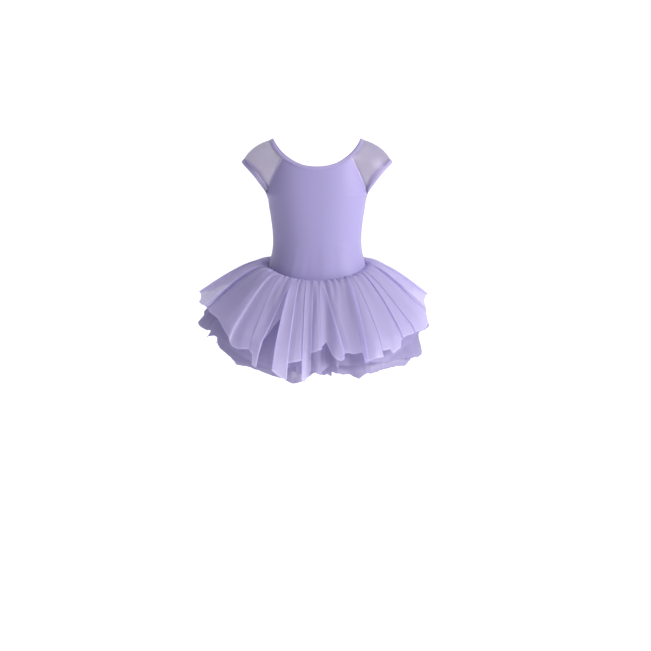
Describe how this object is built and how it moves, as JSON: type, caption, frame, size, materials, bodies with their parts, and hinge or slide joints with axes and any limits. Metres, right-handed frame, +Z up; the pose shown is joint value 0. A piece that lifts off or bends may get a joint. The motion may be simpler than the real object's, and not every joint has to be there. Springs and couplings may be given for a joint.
{
  "type": "ballet dress",
  "caption": "Child's worn ballet dress with a stretch bodice, sheer raglan cap sleeves, bound edges and a short skirt of gathered tulle layers.",
  "frame": {"origin": "midway between the tops of the wearer's two shoulders, at the height of the neckline's highest points", "axes": "+Z up along the body, -Y to the dress's front, +X to the wearer's left, the skirt's widest direction"},
  "size_m": [0.4634, 0.4183, 0.4256],
  "materials": {
    "stretch_cloth": "satin",
    "sheer_mesh": "sheer",
    "binding": "matte",
    "tulle": "sheer matte"
  },
  "bodies": {
    "root": {"bodice_front": "stretch_cloth", "bodice_back": "stretch_cloth", "sleeve_left": "sheer_mesh", "sleeve_right": "sheer_mesh", "neck_binding": "binding", "arm_binding_left": "binding", "arm_binding_right": "binding", "tulle_layer_1": "tulle", "tulle_layer_2": "tulle", "tulle_layer_3": "tulle", "tulle_layer_4": "tulle"}
  },
  "joints": []
}
